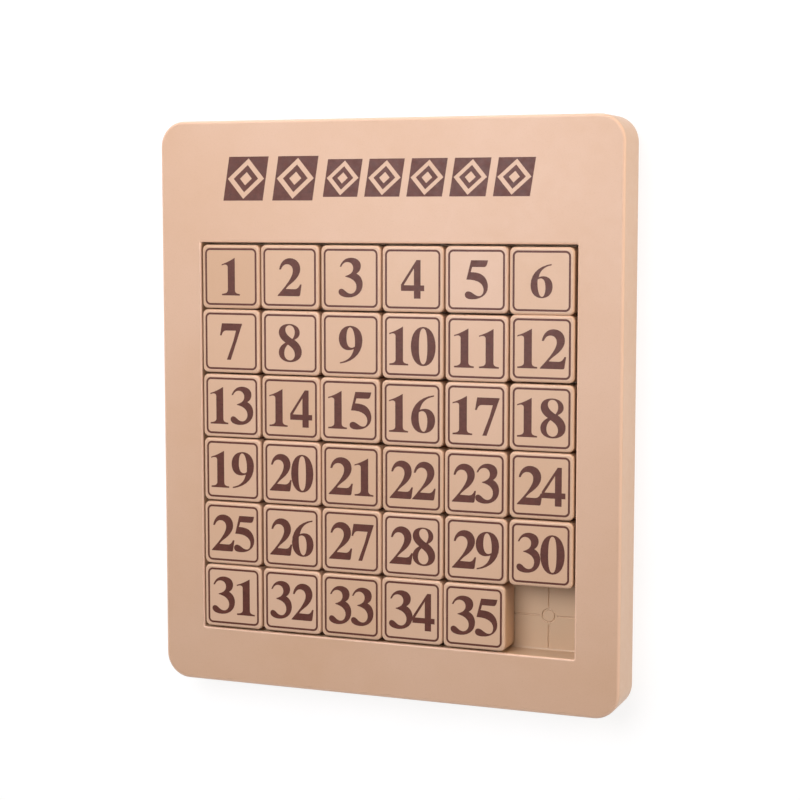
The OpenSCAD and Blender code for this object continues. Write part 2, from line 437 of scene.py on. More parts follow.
def printing_ink(name):
    """Thin dark ink, a little uneven where it took to the grain of the plastic."""
    s = Surface(name)
    body = s.spread(s.noise(900.0, 4.0, 0.65), 0.3, 0.72)
    base = s.mix(body, linear(80, 34, 20), linear(98, 46, 32))
    pits = s.spread(s.noise(3600.0, 2.0, 0.6), 0.66, 0.78, 0.0, 0.6)
    base = s.mix(pits, base, linear(140, 96, 80))
    s.link(base, s.shader.inputs["Base Color"])
    s.link(s.spread(s.noise(700.0), 0.3, 0.7, 0.42, 0.56), s.shader.inputs["Roughness"])
    s.link(s.bump(s.noise(4200.0, 3.0, 0.6), 3e-6), s.shader.inputs["Normal"])
    return s.material


def plated_metal(name, colour, roughness, grain_scale):
    """Plated steel, slightly cloudy and with a fine grain."""
    s = Surface(name)
    cloud = s.spread(s.noise(700.0, 4.0), 0.3, 0.7)
    s.link(s.mix(cloud, scaled(colour, 0.86), colour), s.shader.inputs["Base Color"])
    s.shader.inputs["Metallic"].default_value = 1.0
    polish = s.spread(s.noise(1500.0), 0.3, 0.7, roughness - 0.05, roughness + 0.1)
    s.link(polish, s.shader.inputs["Roughness"])
    s.link(s.bump(s.noise(grain_scale, 2.0), 4e-6), s.shader.inputs["Normal"])
    return s.material


FLOOR_GREYS = (scaled(WHITE, 0.24), scaled(WHITE, 0.26))
FLOOR_GLOW = 0.83


def studio_floor(name):
    """Matt dark grey that glows of itself, so that it looks white and takes only faint shadows."""
    s = Surface(name)
    fibre = s.spread(s.noise(60.0, 3.0), 0.3, 0.7)
    s.link(s.mix(fibre, *FLOOR_GREYS), s.shader.inputs["Base Color"])
    s.shader.inputs["Roughness"].default_value = 0.9
    s.shader.inputs["Specular IOR Level"].default_value = 0.2
    s.shader.inputs["Emission Color"].default_value = WHITE
    s.shader.inputs["Emission Strength"].default_value = FLOOR_GLOW
    return s.material


TAN = linear(214, 178, 150)
TAN_WARM = linear(210, 172, 141)
TAN_PALE = linear(221, 186, 162)
TILE_TAN = linear(211, 175, 145)
TILE_WARM = linear(207, 169, 136)
TILE_PALE = linear(218, 183, 157)
# The shell and the tiles get a painted highlight on their rounded rims, and the shell painted shade in its
# tray.
SHELL = moulded_plastic("shell_plastic", TAN, TAN_WARM, TAN_PALE, 0.38, 6e-6, rim_highlight=0.75)
TILE = moulded_plastic("tile_plastic", TILE_TAN, TILE_WARM, TILE_PALE, 0.36, 6e-6, vary=40.0, rim_highlight=0.4)
COVER = moulded_plastic("cover_plastic", scaled(TAN, 0.95), scaled(TAN_WARM, 0.95), TAN, 0.55, 8e-6)
BASE = moulded_plastic("tile_base_plastic", scaled(TAN, 0.9), scaled(TAN_WARM, 0.88), TAN, 0.5, 6e-6)
INK = printing_ink("printed_ink")
ZINC = plated_metal("zinc_steel", (0.62, 0.63, 0.65, 1.0), 0.32, 5200.0)
NICKEL = plated_metal("nickel_magnet", (0.75, 0.74, 0.72, 1.0), 0.18, 2600.0)


# ---------------------------------------------------------------- board

def shell_rings():
    """Rings of the shell's skin, from the middle of the tray's floor, over the bezel and back inside."""
    rings = []

    def window(inset, radius, z):
        half = TRAY_HALF - inset
        rings.append(rounded_ring(half, half, radius, z, TRAY_Y))

    def outer(inset, z):
        rings.append(rounded_ring(BOARD_HALF_X - inset, BOARD_HALF_Y - inset, BOARD_CORNER_R - inset, z))

    window(FLOOR_ROUND + PLANE_SUPPORT, WINDOW_CORNER_R, FLOOR_Z)
    for inset, rise in quarter_round(FLOOR_ROUND, 4):
        window(inset, WINDOW_CORNER_R, FLOOR_Z + rise)
    window(0.0, WINDOW_CORNER_R, BEZEL_Z - WINDOW_ROUND - PLANE_SUPPORT)
    for outset, drop in reversed(quarter_round(WINDOW_ROUND, 4)):
        window(-outset, WINDOW_CORNER_R + outset, BEZEL_Z - drop)
    window(-WINDOW_ROUND - PLANE_SUPPORT, WINDOW_CORNER_R + WINDOW_ROUND + PLANE_SUPPORT, BEZEL_Z)
    outer(FRONT_ROUND + PLANE_SUPPORT, BEZEL_Z)
    for inset, drop in quarter_round(FRONT_ROUND, 8):
        outer(inset, BEZEL_Z - drop)
    outer(0.0, BEZEL_Z - FRONT_ROUND - PLANE_SUPPORT)
    outer(0.0, BACK_ROUND + PLANE_SUPPORT)
    for inset, rise in reversed(quarter_round(BACK_ROUND, 5)):
        outer(inset, rise)
    under_bezel = BEZEL_Z - BEZEL_T
    outer(WALL_T - WINDOW_ROUND, 0.0)
    outer(WALL_T, WINDOW_ROUND)
    outer(WALL_T, under_bezel)
    window(-TRAY_WALL_T, WINDOW_CORNER_R, under_bezel)
    window(-TRAY_WALL_T, WINDOW_CORNER_R, FLOOR_Z - FLOOR_T)
    return rings


def groove_cutters():
    """Cutters for the fine ring and cross grooves of every cell."""
    bm = bmesh.new()
    over = 0.2 * MM
    narrow = GROOVE_W / 2 - GROOVE_LIP
    section = [(GROOVE_W / 2, over), (GROOVE_W / 2, 0.0)]
    for step in range(GROOVE_STEPS + 1):
        angle = step / GROOVE_STEPS * math.pi
        depth = GROOVE_LIP + (GROOVE_DEPTH - GROOVE_LIP) * math.sin(angle)
        section.append((narrow * math.cos(angle), -depth))
    section += [(-GROOVE_W / 2, 0.0), (-GROOVE_W / 2, over)]
    ring_section = [(RING_MID_R + across, up) for across, up in section]
    first = Vector((-(GRID - 1) / 2 * PITCH, TRAY_Y + (GRID - 1) / 2 * PITCH, FLOOR_Z))
    for row in range(GRID):
        for column in range(GRID):
            centre = first + Vector((column * PITCH, -row * PITCH, 0))
            add_revolved(bm, ring_section, centre, DISC_STEPS, closed_loop=True)
    reach = PITCH / 2
    for line in range(GRID):
        for gap in range(GRID + 1):
            start = (gap - 1) * PITCH + ARM_START_R
            end = gap * PITCH - ARM_START_R
            left = max(start, -reach)
            right = min(end, (GRID - 1) * PITCH + reach)
            add_prism(bm, section, first + Vector((left, -line * PITCH, 0)),
                      first + Vector((right, -line * PITCH, 0)))
            upper = max(start, -reach + ARM_EDGE_STOP)
            lower = min(end, (GRID - 1) * PITCH + reach - ARM_EDGE_STOP)
            add_prism(bm, section, first + Vector((line * PITCH, -upper, 0)),
                      first + Vector((line * PITCH, -lower, 0)))
    bmesh.ops.recalc_face_normals(bm, faces=bm.faces)
    return bm


def add_board_shell():
    """Front shell: bezel, outer wall and tray in one moulding."""
    mesh = cut(to_mesh(loft(shell_rings()), "shell_skin"), groove_cutters())
    mesh.materials.clear()
    # Marks the shell's rims for a painted highlight and its tray for painted shade.
    mark_wear(mesh, BEZEL_Z - FRONT_ROUND, TRAY_HALF + 0.1 * MM)
    place(new_piece("shell_skin", mesh, "board", "shell_plastic", SHELL, "front_shell"))


COVER_T = 1.8 * MM
COVER_ROUND = 0.25 * MM
SCREW_INSET = 7.2 * MM
SCREW_HEAD_R = 2.2 * MM
SCREW_HEAD_Z = 0.35 * MM
SCREW_HEAD_T = 1.5 * MM
SCREW_HEAD_EDGE = 0.45 * MM
SCREW_HEAD_STEPS = 6
SCREW_HEAD_DOME = 0.02 * MM
SCREW_SHANK_R = 1.15 * MM
SCREW_THREAD = 0.7 * MM
SCREW_THREAD_DEPTH = 0.3 * MM
SCREW_POINT = 1.4 * MM
SCREW_POINT_R = 0.3 * MM
SCREW_TIP_Z = 8.85 * MM
WELL_R = SCREW_HEAD_R + 0.1 * MM
WELL_CHAMFER = 0.25 * MM
SCREW_CUP_WALL = 1.4 * MM
SCREW_CUP_SHOULDER = 0.4 * MM
SCREW_CUP_TOP_Z = 2.95 * MM
SCREW_CUP_HOLE_R = SCREW_SHANK_R + 0.15 * MM
SCREW_CUP_SEAT_Z = SCREW_HEAD_Z + SCREW_HEAD_T + 0.05 * MM
# Degrees by which each screw is turned further than the one before it.
SCREW_TURN = 23


def screw_spots():
    """Centres of the cover screws: one near each corner and one beside the tray on each side."""
    side_x = (TRAY_HALF + TRAY_WALL_T + BOARD_HALF_X - WALL_T) / 2
    corner_x = BOARD_HALF_X - SCREW_INSET
    corner_y = BOARD_HALF_Y - SCREW_INSET
    corners = [(x * corner_x, y * corner_y) for x in (-1, 1) for y in (-1, 1)]
    return [Vector((x, y, 0)) for x, y in corners + [(-side_x, TRAY_Y), (side_x, TRAY_Y)]]


def add_back_cover():
    """Back cover, set flush in the shell, with a well round each screw."""
    _, cover_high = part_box("back_cover")
    half_x, half_y = cover_high.x, cover_high.y
    corner = BOARD_CORNER_R - (BOARD_HALF_X - half_x)
    rings = [rounded_ring(half_x - COVER_ROUND - PLANE_SUPPORT,
                          half_y - COVER_ROUND - PLANE_SUPPORT,
                          corner - COVER_ROUND - PLANE_SUPPORT, 0.0)]
    for inset, rise in quarter_round(COVER_ROUND, 4):
        rings.append(rounded_ring(half_x - inset, half_y - inset, corner - inset, rise))
    rings.append(rounded_ring(half_x, half_y, corner, COVER_T))
    mesh = to_mesh(loft(rings), "cover_skin")
    wells = bmesh.new()
    mouth_r = WELL_R + WELL_CHAMFER
    well = [(0, -MM), (mouth_r + MM, -MM), (mouth_r, 0.0), (WELL_R, WELL_CHAMFER),
            (WELL_R, COVER_T + MM), (0, COVER_T + MM)]
    for spot in screw_spots():
        add_revolved(wells, well, spot, WELL_STEPS)
    bmesh.ops.recalc_face_normals(wells, faces=wells.faces)
    mesh = cut(mesh, wells)
    mesh.materials.clear()
    place(new_piece("cover_skin", mesh, "board", "cover_plastic", COVER, "back_cover"))


def add_screw_cups():
    """Cups inside the back cover, each with a seat for a screw's head and a hole for its shank."""
    cup = [(SCREW_CUP_HOLE_R, SCREW_CUP_SEAT_Z),
           (WELL_R + OVERLAP, SCREW_CUP_SEAT_Z),
           (WELL_R + OVERLAP, COVER_T - SCREW_CUP_SHOULDER),
           (WELL_R + SCREW_CUP_WALL, COVER_T - OVERLAP),
           (WELL_R + SCREW_CUP_WALL, SCREW_CUP_TOP_Z),
           (SCREW_CUP_HOLE_R, SCREW_CUP_TOP_Z)]
    cups = bmesh.new()
    for spot in screw_spots():
        add_revolved(cups, cup, spot, WELL_STEPS, closed_loop=True)
    mesh = to_mesh(cups, "cover_screw_cups")
    place(new_piece("cover_screw_cups", mesh, "board", "cover_plastic", COVER))


def screw_profile():
    """(radius, z) of a pan-head screw with a thread of separate rings, head down."""
    edge = SCREW_HEAD_EDGE
    profile = [(0, SCREW_HEAD_Z)]
    for step in range(1, SCREW_HEAD_STEPS + 1):
        angle = step / SCREW_HEAD_STEPS * math.pi / 2
        radius = SCREW_HEAD_R - edge + edge * math.sin(angle)
        profile.append((radius, SCREW_HEAD_Z + edge * (1 - math.cos(angle)) + SCREW_HEAD_DOME))
    under = SCREW_HEAD_Z + SCREW_HEAD_T
    profile += [(SCREW_HEAD_R, under), (SCREW_SHANK_R, under)]
    z = under + SCREW_THREAD
    while z < SCREW_TIP_Z - SCREW_POINT:
        profile += [(SCREW_SHANK_R - SCREW_THREAD_DEPTH, z), (SCREW_SHANK_R, z + SCREW_THREAD / 2)]
        z += SCREW_THREAD
    return profile + [(SCREW_POINT_R, SCREW_TIP_Z), (0, SCREW_TIP_Z)]


RECESS_REACH = (1.3 * MM, 0.55 * MM)
RECESS_HALF_W = (0.38 * MM, 0.2 * MM)
RECESS_Z = (SCREW_HEAD_Z - 0.1 * MM, SCREW_HEAD_Z + 0.95 * MM)


def recess_bar(turn):
    """One tapered bar of the cross recess, as long as the whole cross, turned about the axis."""
    rotation = Matrix.Rotation(math.radians(turn), 4, "Z")
    bar = bmesh.new()
    ends = []
    for reach, half, z in zip(RECESS_REACH, RECESS_HALF_W, RECESS_Z):
        ends.append([bar.verts.new(rotation @ Vector((x * reach, y * half, z)))
                     for x, y in ((1, 1), (-1, 1), (-1, -1), (1, -1))])
    for i in range(4):
        j = (i + 1) % 4
        bar.faces.new((ends[0][i], ends[0][j], ends[1][j], ends[1][i]))
    bar.faces.new(list(reversed(ends[0])))
    bar.faces.new(ends[1])
    bmesh.ops.recalc_face_normals(bar, faces=bar.faces)
    return bar


def add_screws():
    """Cover screws with a tapered cross recess, each left at a turn of its own."""
    for number, spot in enumerate(screw_spots(), 1):
        bm = bmesh.new()
        add_revolved(bm, screw_profile(), Vector((0, 0, 0)), DISC_STEPS)
        mesh = to_mesh(bm, "cover_screw", 40)
        for turn in (0, 90):
            mesh = cut(mesh, recess_bar(turn))
        mesh.transform(Matrix.Rotation(math.radians(SCREW_TURN * number), 4, "Z"))
        mesh.materials.clear()
        replaced = ["cover_screws"] if number == 1 else []
        place(new_piece(f"cover_screw_{number}", mesh, "board", "zinc_steel", ZINC, *replaced), spot)


# ---------------------------------------------------------------- tiles

def square_ring(half, radius, z):
    """Points round a rounded square about the Z axis."""
    return rounded_ring(half, half, radius, z)


def cap_mesh():
    """Tile cap, hollow from below, with its origin at the tray's floor."""
    half = TILE_W / 2
    foot_half = half - TILE_FOOT_ROUND - PLANE_SUPPORT
    seat_z = TILE_FOOT_GAP + TILE_SEAT_DEPTH
    rings = [square_ring(TILE_HOLLOW_W / 2, TILE_HOLLOW_CORNER_R, CAP_TOP_Z - TILE_TOP_T),
             square_ring(TILE_HOLLOW_W / 2, TILE_HOLLOW_CORNER_R, seat_z),
             square_ring(TILE_SEAT_W / 2, TILE_HOLLOW_CORNER_R, seat_z),
             square_ring(TILE_SEAT_W / 2, TILE_HOLLOW_CORNER_R, TILE_FOOT_GAP),
             square_ring(foot_half, TILE_CORNER_R - TILE_FOOT_ROUND, TILE_FOOT_GAP)]
    for inset, rise in quarter_round(TILE_FOOT_ROUND, 3):
        rings.append(square_ring(half - inset, TILE_CORNER_R - inset, TILE_FOOT_GAP + rise))
    rings.append(square_ring(half, TILE_CORNER_R, TILE_FOOT_GAP + TILE_FOOT_ROUND + PLANE_SUPPORT))
    rings.append(square_ring(half, TILE_CORNER_R, CAP_TOP_Z - TILE_TOP_ROUND - PLANE_SUPPORT))
    for inset, drop in reversed(quarter_round(TILE_TOP_ROUND, 8)):
        rings.append(square_ring(half - inset, TILE_CORNER_R - inset, CAP_TOP_Z - drop))
    flat = TILE_TOP_ROUND + PLANE_SUPPORT
    rings.append(square_ring(half - flat, TILE_CORNER_R - flat, CAP_TOP_Z))
    mesh = to_mesh(loft(rings), "tile_cap")
    # Marks the top rounds for a painted highlight.
    mark_wear(mesh, CAP_TOP_Z - TILE_TOP_ROUND)
    return mesh


def base_mesh():
    """Base plate with a rounded lower edge and a cup for the magnet."""
    half = BASE_W / 2
    middle = Vector((0, 0, 0))
    rings = [square_ring(half - BASE_ROUND - PLANE_SUPPORT, BASE_CORNER_R - BASE_ROUND / 2, 0.0)]
    for inset, rise in quarter_round(BASE_ROUND, 3):
        rings.append(square_ring(half - inset, BASE_CORNER_R - inset, rise))
    rings.append(square_ring(half, BASE_CORNER_R, BASE_T))
    bm = loft(rings)
    outer_r = MAGNET_R + CUP_WALL
    inner_r = MAGNET_R + CUP_PLAY
    cup = [(inner_r, BASE_T - OVERLAP), (outer_r, BASE_T - OVERLAP),
           (outer_r, CUP_TOP_Z), (inner_r, CUP_TOP_Z)]
    add_revolved(bm, cup, middle, DISC_STEPS, closed_loop=True)
    mesh = to_mesh(bm, "tile_base")
    pocket_r = inner_r - OVERLAP / 2
    pocket_z = MAGNET_Z - CUP_PLAY
    pocket = bmesh.new()
    add_revolved(pocket, [(0, pocket_z), (pocket_r, pocket_z), (pocket_r, BASE_T + MM), (0, BASE_T + MM)],
                 middle, DISC_STEPS)
    bmesh.ops.recalc_face_normals(pocket, faces=pocket.faces)
    mesh = cut(mesh, pocket)
    mesh.materials.clear()
    return mesh


def magnet_mesh():
    """Disc magnet with softened rims."""
    rim = MAGNET_RIM
    profile = [(0, MAGNET_Z), (MAGNET_R - rim, MAGNET_Z), (MAGNET_R - 0.3 * rim, MAGNET_Z + 0.3 * rim),
               (MAGNET_R, MAGNET_Z + rim), (MAGNET_R, MAGNET_Z + MAGNET_T - rim),
               (MAGNET_R - 0.3 * rim, MAGNET_Z + MAGNET_T - 0.3 * rim),
               (MAGNET_R - rim, MAGNET_Z + MAGNET_T), (0, MAGNET_Z + MAGNET_T)]
    bm = bmesh.new()
    add_revolved(bm, profile, Vector((0, 0, 0)), DISC_STEPS)
    return to_mesh(bm, "tile_magnet")


# Numerals. A contour is a start point, then a line for each pair and a cubic curve for each six
# numbers. Units are hundredths of the numeral's height, with x from the ink's left edge.
NUMERAL_H = 100
NUMERAL_ADVANCE = 67
SIX_BOWL = [(64, 99.5), (28, 95, 0.5, 72, 0.5, 38), (0.5, 15, 14, 0.5, 34, 0.5),
            (53, 0.5, 67, 14, 67, 34), (67, 52, 56, 64, 41, 64), (35, 64, 30, 63, 25, 61),
            (29, 80, 42, 92, 64, 96)]
SIX_EYE = [(22, 54), (26, 57, 29, 57.5, 32, 57.5), (40, 57.5, 45.5, 48, 45.5, 32),
           (45.5, 14, 41, 4.5, 35, 4.5), (27, 4.5, 21.5, 22, 21.5, 42), (21.5, 47, 21.5, 51, 22, 54)]


def half_turn(contour):
    """The contour turned by half a turn about the middle of a numeral."""
    turned = []
    for step in contour:
        turned.append(tuple((NUMERAL_ADVANCE if i % 2 == 0 else NUMERAL_H) - value
                            for i, value in enumerate(step)))
    return turned


NUMERALS = {
    "0": [[(34.5, 100.5), (55, 100.5, 69, 80, 69, 50), (69, 20, 55, 0, 34.5, 0),
           (14, 0, 0, 20, 0, 50), (0, 80, 14, 100.5, 34.5, 100.5)],
          [(34.5, 96.5), (43, 96.5, 46, 80, 46, 50), (46, 21, 43, 4.5, 34.5, 4.5),
           (26, 4.5, 22.5, 21, 22.5, 50), (22.5, 80, 26, 96.5, 34.5, 96.5)]],
    "1": [[(1, 79.5), (1, 83), (15, 87, 28, 93.5, 38, 99.5), (39.5, 100), (39.5, 15),
           (39.5, 8, 44, 5, 54, 4.5), (54, 0.5), (1, 0.5), (1, 4.5), (12, 5, 18.5, 8, 18.5, 15),
           (18.5, 75), (18.5, 80, 15, 82, 11, 82), (7, 82, 4, 80.5, 1, 79.5)]],
    "2": [[(5, 70), (8, 88, 20, 100, 36, 100), (54, 100, 66, 88, 66, 72), (66, 60, 58, 48, 44, 37),
           (36, 31, 29, 26, 24, 19.5), (48, 19), (57, 19, 61, 23, 65, 31.5), (69.5, 31.5), (65.5, 6),
           (65, 2, 63, 0.5, 60, 0.5), (0.5, 0.5), (0.5, 2.5), (16, 19, 30, 34, 38, 48),
           (43, 57, 44.5, 62, 44.5, 68), (44.5, 78, 37, 84, 28, 84), (20, 84, 14, 79, 10.5, 70)]],
    "3": [[(4, 79), (9, 93, 20, 103, 36, 103), (53, 103, 63.5, 94, 63.5, 82), (63.5, 74, 59, 66, 51, 62),
           (62, 58, 68.5, 47, 68.5, 35), (68.5, 14, 51, 0, 28, 0), (12, 0, 0.5, 6, 0.5, 14),
           (0.5, 19, 4, 22.5, 9, 22.5), (18, 22.5, 22, 10, 35, 10), (44, 10, 51, 18, 51, 28),
           (51, 41, 40, 50, 20, 53.5), (20, 55.5), (33, 59, 42, 65, 42, 76), (42, 85, 35, 91.5, 26, 91.5),
           (18, 91.5, 12, 87, 9, 79.5)]],
    "4": [[(43, 99), (54, 99), (54, 34.5), (64, 34.5), (64, 20), (54, 20), (54, 0.5), (36, 0.5), (36, 20),
           (0.5, 20), (0.5, 36)],
          [(36, 34.5), (8, 34.5), (36, 77.5)]],
    "5": [[(17, 99), (62, 99), (60, 90, 58, 82, 52, 82), (20, 82), (16, 69), (26, 69, 36, 68, 44, 64),
           (55, 58.5, 62, 46, 62, 33), (62, 13, 44, 0.5, 20, 0.5), (8, 0.5, 0.5, 4, 0.5, 11.5),
           (0.5, 17, 5, 20.5, 10, 20.5), (20, 20.5, 27, 9, 38, 9), (46, 9, 50.5, 16, 50.5, 25),
           (50.5, 41, 33, 51, 4.5, 50)]],
    "6": [SIX_BOWL, SIX_EYE],
    "7": [[(6.5, 97.5), (66, 97.5), (66, 95), (63, 88, 61, 82, 59, 76), (32, 0.5), (20.5, 0.5), (39, 48),
           (42, 57, 45, 68, 48, 78.5), (20, 78.5), (12, 78.5, 8, 74, 5.5, 65), (0.5, 65)]],
    "8": [[(20, 51), (7, 59, 1, 68, 1, 78), (1, 92, 13, 100.5, 31, 100.5), (49, 100.5, 61.5, 91, 61.5, 78),
           (61.5, 70, 56, 63, 46, 59), (60, 50, 67, 39, 67, 27), (67, 11, 53, 0, 33, 0),
           (14, 0, 0.5, 10, 0.5, 25), (0.5, 36, 8, 45, 20, 51)],
          [(40, 61), (27, 69, 20, 76, 20, 85), (20, 92, 25, 97, 32, 97), (41, 97, 47, 89, 47, 79),
           (47, 71, 44, 66, 40, 61)],
          [(27, 46), (20, 40, 16.5, 32, 16.5, 23), (16.5, 12, 23, 4.5, 33, 4.5), (41, 4.5, 47, 11, 47, 20),
           (47, 31, 39, 39, 27, 46)]],
    "9": [half_turn(SIX_BOWL), half_turn(SIX_EYE)],
}
NUMERAL_UNIT = 0.1044 * MM
NUMERAL_BEARING = {"0": 3.2, "1": 8.6, "2": 2.3, "3": 2.1, "4": 2.5,
                   "5": 2.9, "6": 3.8, "7": 2.3, "8": 3.8, "9": 3.5}
# A number wider than this is squeezed to it.
NUMERAL_MAX_W = 127
# Numbers that are printed smaller than the others.
SMALL_NUMBERS = {"6": 0.86}
CURVE_STEPS = 7
# A second digit's ink is a little thinner, so that its top never lies in the plane of the first's.
INK_STEP = INK_T / 10
INK_FOOT = 0.02 * MM
BORDER_HALF = 7.62 * MM
BORDER_LINE_W = 0.55 * MM
BORDER_CORNER_R = 1.2 * MM


def filled(contours, name, bottom, top):
    """Flat solid from outlines: even-odd filled, from one height to another."""
    curve = bpy.data.curves.new(name, "CURVE")
    curve.dimensions = "2D"
    curve.fill_mode = "BOTH"
    curve.resolution_u = CURVE_STEPS
    curve.extrude = (top - bottom) / 2
    for contour in contours:
        knots = [contour[0]]
        controls = []
        for step in contour[1:]:
            start, end = knots[-1], step[-2:]
            curved = len(step) == 6
            controls.append((step[:2], step[2:4]) if curved else (start, end))
            knots.append(end)
        if math.dist(knots[0], knots[-1]) < 1e-9:
            knots.pop()
        else:
            controls.append((knots[-1], knots[0]))
        spline = curve.splines.new("BEZIER")
        spline.bezier_points.add(len(knots) - 1)
        spline.use_cyclic_u = True
        for i, point in enumerate(spline.bezier_points):
            point.handle_left_type = point.handle_right_type = "FREE"
            point.co = (*knots[i], 0)
            point.handle_right = (*controls[i][0], 0)
            point.handle_left = (*controls[i - 1][1], 0)
    holder = bpy.data.objects.new(name, curve)
    bpy.context.scene.collection.objects.link(holder)
    graph = bpy.context.evaluated_depsgraph_get()
    mesh = bpy.data.meshes.new_from_object(holder.evaluated_get(graph))
    bpy.data.objects.remove(holder)
    bpy.data.curves.remove(curve)
    bm = bmesh.new()
    bm.from_mesh(mesh)
    bpy.data.meshes.remove(mesh)
    bmesh.ops.remove_doubles(bm, verts=bm.verts, dist=1e-7)
    bmesh.ops.translate(bm, verts=bm.verts, vec=(0, 0, (top + bottom) / 2))
    return bm


def scaled_contours(contours, scale_x, scale_y, shift_x, shift_y):
    """Contours moved and scaled from their own units to metres."""
    result = []
    for contour in contours:
        steps = []
        for step in contour:
            steps.append(tuple(value * scale_x + shift_x if i % 2 == 0 else value * scale_y + shift_y
                               for i, value in enumerate(step)))
        result.append(steps)
    return result


def ink_edges(digit):
    """Left and right edge of a numeral's ink, in its own units."""
    knots = [step[-2] for contour in NUMERALS[digit] for step in contour]
    return min(knots), max(knots)


def number_ink(number):
    """The ink of a tile's number, centred on the tile."""
    digits = str(number)
    lefts = [i * NUMERAL_ADVANCE + NUMERAL_BEARING[digit] for i, digit in enumerate(digits)]
    start = lefts[0] + ink_edges(digits[0])[0]
    end = lefts[-1] + ink_edges(digits[-1])[1]
    size = SMALL_NUMBERS.get(digits, 1.0) * NUMERAL_UNIT
    squeeze = min(1.0, NUMERAL_MAX_W / (end - start))
    parts = []
    for i, (digit, left) in enumerate(zip(digits, lefts)):
        shift = (left - (start + end) / 2) * size * squeeze
        outline = scaled_contours(NUMERALS[digit], size * squeeze, size, shift, -NUMERAL_H / 2 * size)
        top = CAP_TOP_Z + INK_T - i * INK_STEP
        parts.append(filled(outline, "numeral", CAP_TOP_Z - INK_FOOT, top))
    return parts


def border_ink():
    """Rounded square line round a tile's face, as a closed band."""
    half_line = BORDER_LINE_W / 2
    outer, inner = BORDER_HALF + half_line, BORDER_HALF - half_line
    outer_r, inner_r = BORDER_CORNER_R + half_line, BORDER_CORNER_R - half_line
    low, high = CAP_TOP_Z - INK_FOOT, CAP_TOP_Z + INK_T
    rings = [square_ring(inner, inner_r, low), square_ring(outer, outer_r, low),
             square_ring(outer, outer_r, high), square_ring(inner, inner_r, high)]
    bm = bmesh.new()
    rows = [[bm.verts.new(point) for point in ring] for ring in rings]
    count = len(rows[0])
    for row, following in zip(rows, rows[1:] + rows[:1]):
        for i in range(count):
            j = (i + 1) % count
            bm.faces.new((row[i], row[j], following[j], following[i]))
    return bm


def joined(parts, name):
    """One mesh from several bmeshes."""
    whole = bmesh.new()
    for part in parts:
        mesh = bpy.data.meshes.new("part")
        part.to_mesh(mesh)
        part.free()
        whole.from_mesh(mesh)
        bpy.data.meshes.remove(mesh)
    return to_mesh(whole, name)


# Tiles that have been pushed off centre, in millimetres. The last column sits high below its first
# tile, the two tiles left of the gap sit left, and a few others are out of line.
PUSHED_TILES = {6: (-0.2, 0.0), 12: (0.05, 0.25), 15: (-0.25, 0.1), 16: (-0.2, 0.0), 18: (0.1, 0.25),
                20: (0.2, 0.0), 22: (0.0, -0.15), 24: (0.1, 0.22), 26: (0.15, 0.0), 30: (0.1, 0.2),
                34: (-0.2, 0.0), 35: (-0.4, 0.0)}
# Most that every tile sits off centre besides, in millimetres.
TILE_PLAY = 0.06

# Painted sheen: tints of the tiles whose sheen stands apart from the others, tile 5 lighter and whiter,
# tile 1 darker and yellower.
TILE_SHEEN_TINTS = {1: (0.91, 0.87, 0.80, 1.0), 5: (1.02, 1.04, 1.09, 1.0)}


def tile_shift(number):
    """How far a tile sits off its cell's centre, as loose tiles do."""
    push_x, push_y = PUSHED_TILES.get(number, (0.0, 0.0))
    loose_x = math.sin(number * 2.4) * TILE_PLAY
    loose_y = math.cos(number * 3.7) * TILE_PLAY
    return Vector((push_x + loose_x, push_y + loose_y, 0)) * MM


def add_tiles():
    """Every tile: cap, base plate, magnet and print."""
    cap, base, magnet = cap_mesh(), base_mesh(), magnet_mesh()
    for number in range(1, TILE_COUNT + 1):
        body = tile_body(number)
        low, high = tile_box(number)
        spot = Vector(((low.x + high.x) / 2, (low.y + high.y) / 2, FLOOR_Z)) + tile_shift(number)
        skin = place(new_piece(f"{body}_cap_skin", cap, body, "tile_plastic", TILE,
                               *tile_nodes(number)), spot)
        # Tint for the painted sheen of the tiles listed above.
        skin.color = TILE_SHEEN_TINTS.get(number, WHITE)
        place(new_piece(f"{body}_base_skin", base, body, "tile_base_plastic", BASE), spot)
        place(new_piece(f"{body}_magnet_skin", magnet, body, "nickel_magnet", NICKEL), spot)
        ink = joined([border_ink()] + number_ink(number), f"{body}_print")
        place(new_piece(f"{body}_print", ink, body, "printed_ink", INK), spot)


# ---------------------------------------------------------------- title ornament

ORNAMENT_SLANT = 0.16
ORNAMENT_MIDDLE_Y = 62.9 * MM
BIG_MOTIF_H = 12.0 * MM
SMALL_MOTIF_H = 10.1 * MM
BIG_MOTIF_X = [-40.3 * MM, -25.4 * MM]
SMALL_MOTIF_X = [(-11.4 + 12.13 * i) * MM for i in range(5)]
MOTIF_DIAMONDS = [0.46, 0.31, 0.15]


def motif_contours():
    """Square block with nested diamonds in it, one unit across, about its centre."""
    contours = [[(-0.5, -0.5), (0.5, -0.5), (0.5, 0.5), (-0.5, 0.5)]]
    for reach in MOTIF_DIAMONDS:
        contours.append([(reach, 0.0), (0.0, reach), (-reach, 0.0), (0.0, -reach)])
    return contours


def add_title_ornament():
    """A plain band of slanted blocks with diamonds in them, in place of a title."""
    parts = []
    motifs = [(x, BIG_MOTIF_H) for x in BIG_MOTIF_X] + [(x, SMALL_MOTIF_H) for x in SMALL_MOTIF_X]
    for middle_x, height in motifs:
        outline = []
        for contour in motif_contours():
            outline.append([(middle_x + (x + y * ORNAMENT_SLANT) * height, ORNAMENT_MIDDLE_Y + y * height)
                            for x, y in contour])
        parts.append(filled(outline, "motif", BEZEL_Z - INK_FOOT, BEZEL_Z + INK_T))
    mesh = joined(parts, "title_ornament")
    place(new_piece("title_ornament", mesh, "board", "printed_ink", INK))


# ---------------------------------------------------------------- studio

FLOOR_HALF = 4.0
FLOOR_LAP = 0.1 * MM


